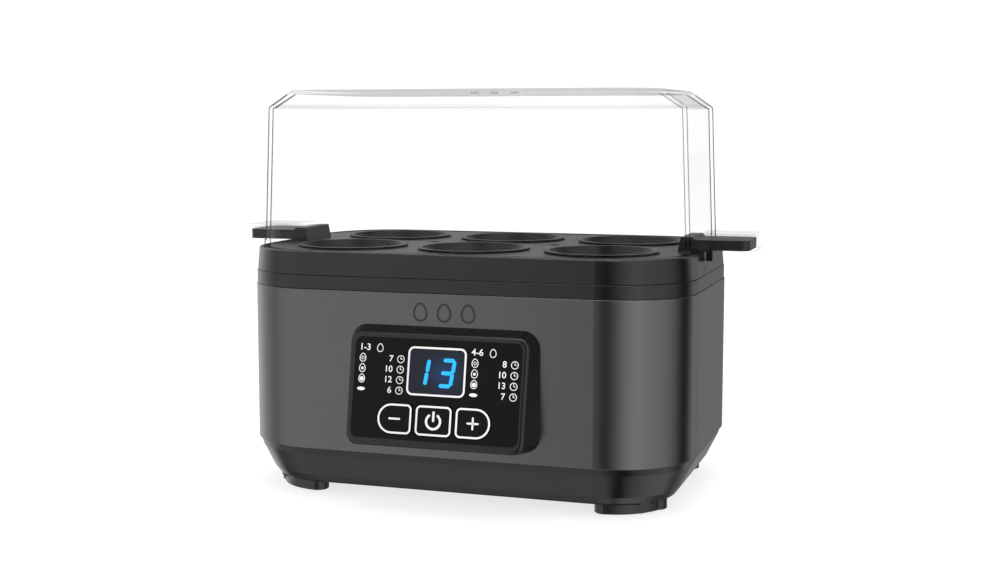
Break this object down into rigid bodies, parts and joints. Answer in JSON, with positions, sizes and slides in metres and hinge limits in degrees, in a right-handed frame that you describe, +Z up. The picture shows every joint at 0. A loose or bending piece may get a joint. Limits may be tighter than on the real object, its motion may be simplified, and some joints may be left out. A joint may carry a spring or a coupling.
{
  "type": "egg cooker",
  "caption": "Countertop egg cooker: clear lift-off lid, lift-out egg tray over a heated water pan, rounded rectangular body, tilted front control panel.",
  "frame": {"origin": "middle of the footprint's box, on the surface that the feet stand on", "axes": "+Z up, +X along the longer side, the control panel faces -Y"},
  "size_m": [0.2054, 0.1367, 0.1504],
  "materials": {
    "clear_lid": "clear, polished",
    "tray_black": "fine matt",
    "collar_dark": "satin",
    "shell_grey": "satin",
    "base_black": "satin",
    "foot_black": "matt",
    "pad_rubber": "matt",
    "bezel_black": "satin",
    "face_gloss": "gloss",
    "window_tint": "gloss",
    "led_module": "gloss",
    "pan_steel": "satin",
    "aluminium": "cast",
    "heater_steel": "dull",
    "screw_steel": "plain",
    "silicone": "matt",
    "board_green": "satin",
    "component_black": "matt",
    "component_blue": "gloss",
    "terminal_green": "matt",
    "wire_white": "satin",
    "ceramic_white": "matt"
  },
  "bodies": {
    "housing": {"top_collar": "collar_dark", "trim_band": "collar_dark", "outer_shell": "shell_grey", "base_cover": "base_black", "corner_foot_front_left": "foot_black", "corner_foot_front_right": "foot_black", "corner_foot_back_left": "foot_black", "corner_foot_back_right": "foot_black", "foot_pads": "pad_rubber", "tie_posts": "base_black", "base_screws": "screw_steel", "heating_pan": "pan_steel", "pan_gasket": "silicone", "heat_spreader": "aluminium", "heating_element": "heater_steel", "thermostat": "ceramic_white", "thermal_fuse": "heater_steel", "fuse_clip": "screw_steel", "ntc_sensor": "ceramic_white", "heat_shield": "pan_steel", "shield_stays": "screw_steel", "power_board": "board_green", "board_screws": "screw_steel", "relay": "component_black", "film_capacitor": "component_blue", "bulk_capacitor": "component_black", "terminal_block": "terminal_green", "buzzer": "component_black", "panel_bezel": "bezel_black", "panel_face": "face_gloss", "display_window": "window_tint", "led_display": "led_module", "control_board": "board_green", "tact_switches": "component_black", "panel_screws": "screw_steel", "bezel_screws": "screw_steel", "ribbon_cable": "wire_white", "heater_wires": "wire_white", "mains_wires": "wire_white", "cord_gland": "pad_rubber", "cord_clamp": "base_black"},
    "lid": {"lid_shell": "clear_lid"},
    "tray": {"egg_tray": "tray_black"},
    "key_minus": {"key_minus": "face_gloss", "plunger_minus": "component_black"},
    "key_power": {"key_power": "face_gloss", "plunger_power": "component_black"},
    "key_plus": {"key_plus": "face_gloss", "plunger_plus": "component_black"}
  },
  "joints": [
    {"name": "tray_lift", "type": "slide", "parent": "housing", "child": "tray", "axis": [0, 0, 1], "range_m": [0, 0.06]},
    {"name": "lid_lift", "type": "slide", "parent": "tray", "child": "lid", "axis": [0, 0, 1], "range_m": [0, 0.075]},
    {"name": "press_minus", "type": "slide", "parent": "housing", "child": "key_minus", "axis": [0, 0.9813, -0.1925], "range_m": [0, 0.0006], "stiffness_N_per_m": 1500, "springref_m": -0.0003},
    {"name": "press_power", "type": "slide", "parent": "housing", "child": "key_power", "axis": [0, 0.9813, -0.1925], "range_m": [0, 0.0006], "stiffness_N_per_m": 1500, "springref_m": -0.0003},
    {"name": "press_plus", "type": "slide", "parent": "housing", "child": "key_plus", "axis": [0, 0.9813, -0.1925], "range_m": [0, 0.0006], "stiffness_N_per_m": 1500, "springref_m": -0.0003}
  ]
}
